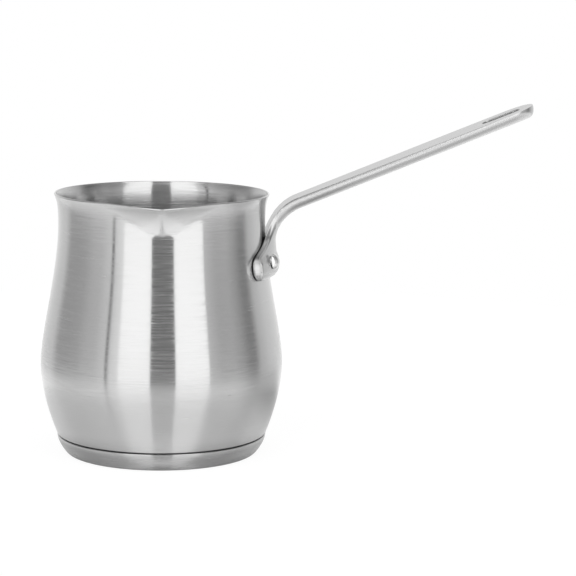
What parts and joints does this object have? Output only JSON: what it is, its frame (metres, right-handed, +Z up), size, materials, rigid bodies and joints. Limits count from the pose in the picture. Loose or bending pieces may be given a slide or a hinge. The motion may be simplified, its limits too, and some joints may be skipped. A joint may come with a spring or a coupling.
{
  "type": "cezve coffee pot",
  "caption": "Small bellied stainless-steel pot with flared rim, V-shaped pouring spout, encapsulated base and a riveted long handle with a hanging slot.",
  "frame": {"origin": "centre of the flat underside of the base, on the pot's axis", "axes": "+Z up along the pot's axis, +X from the pot's axis towards the handle's tip, -Y towards the pouring spout"},
  "size_m": [0.207, 0.102, 0.148],
  "materials": {
    "pot_steel": "brushed round the pot",
    "cap_steel": "brushed round the base",
    "handle_steel": "satin",
    "rivet_steel": "polished",
    "core_aluminium": "plain"
  },
  "bodies": {
    "root": {"pot_body": "pot_steel", "base_cap": "cap_steel", "heat_disc": "core_aluminium", "handle": "handle_steel", "rivet_front": "rivet_steel", "rivet_back": "rivet_steel"}
  },
  "joints": []
}
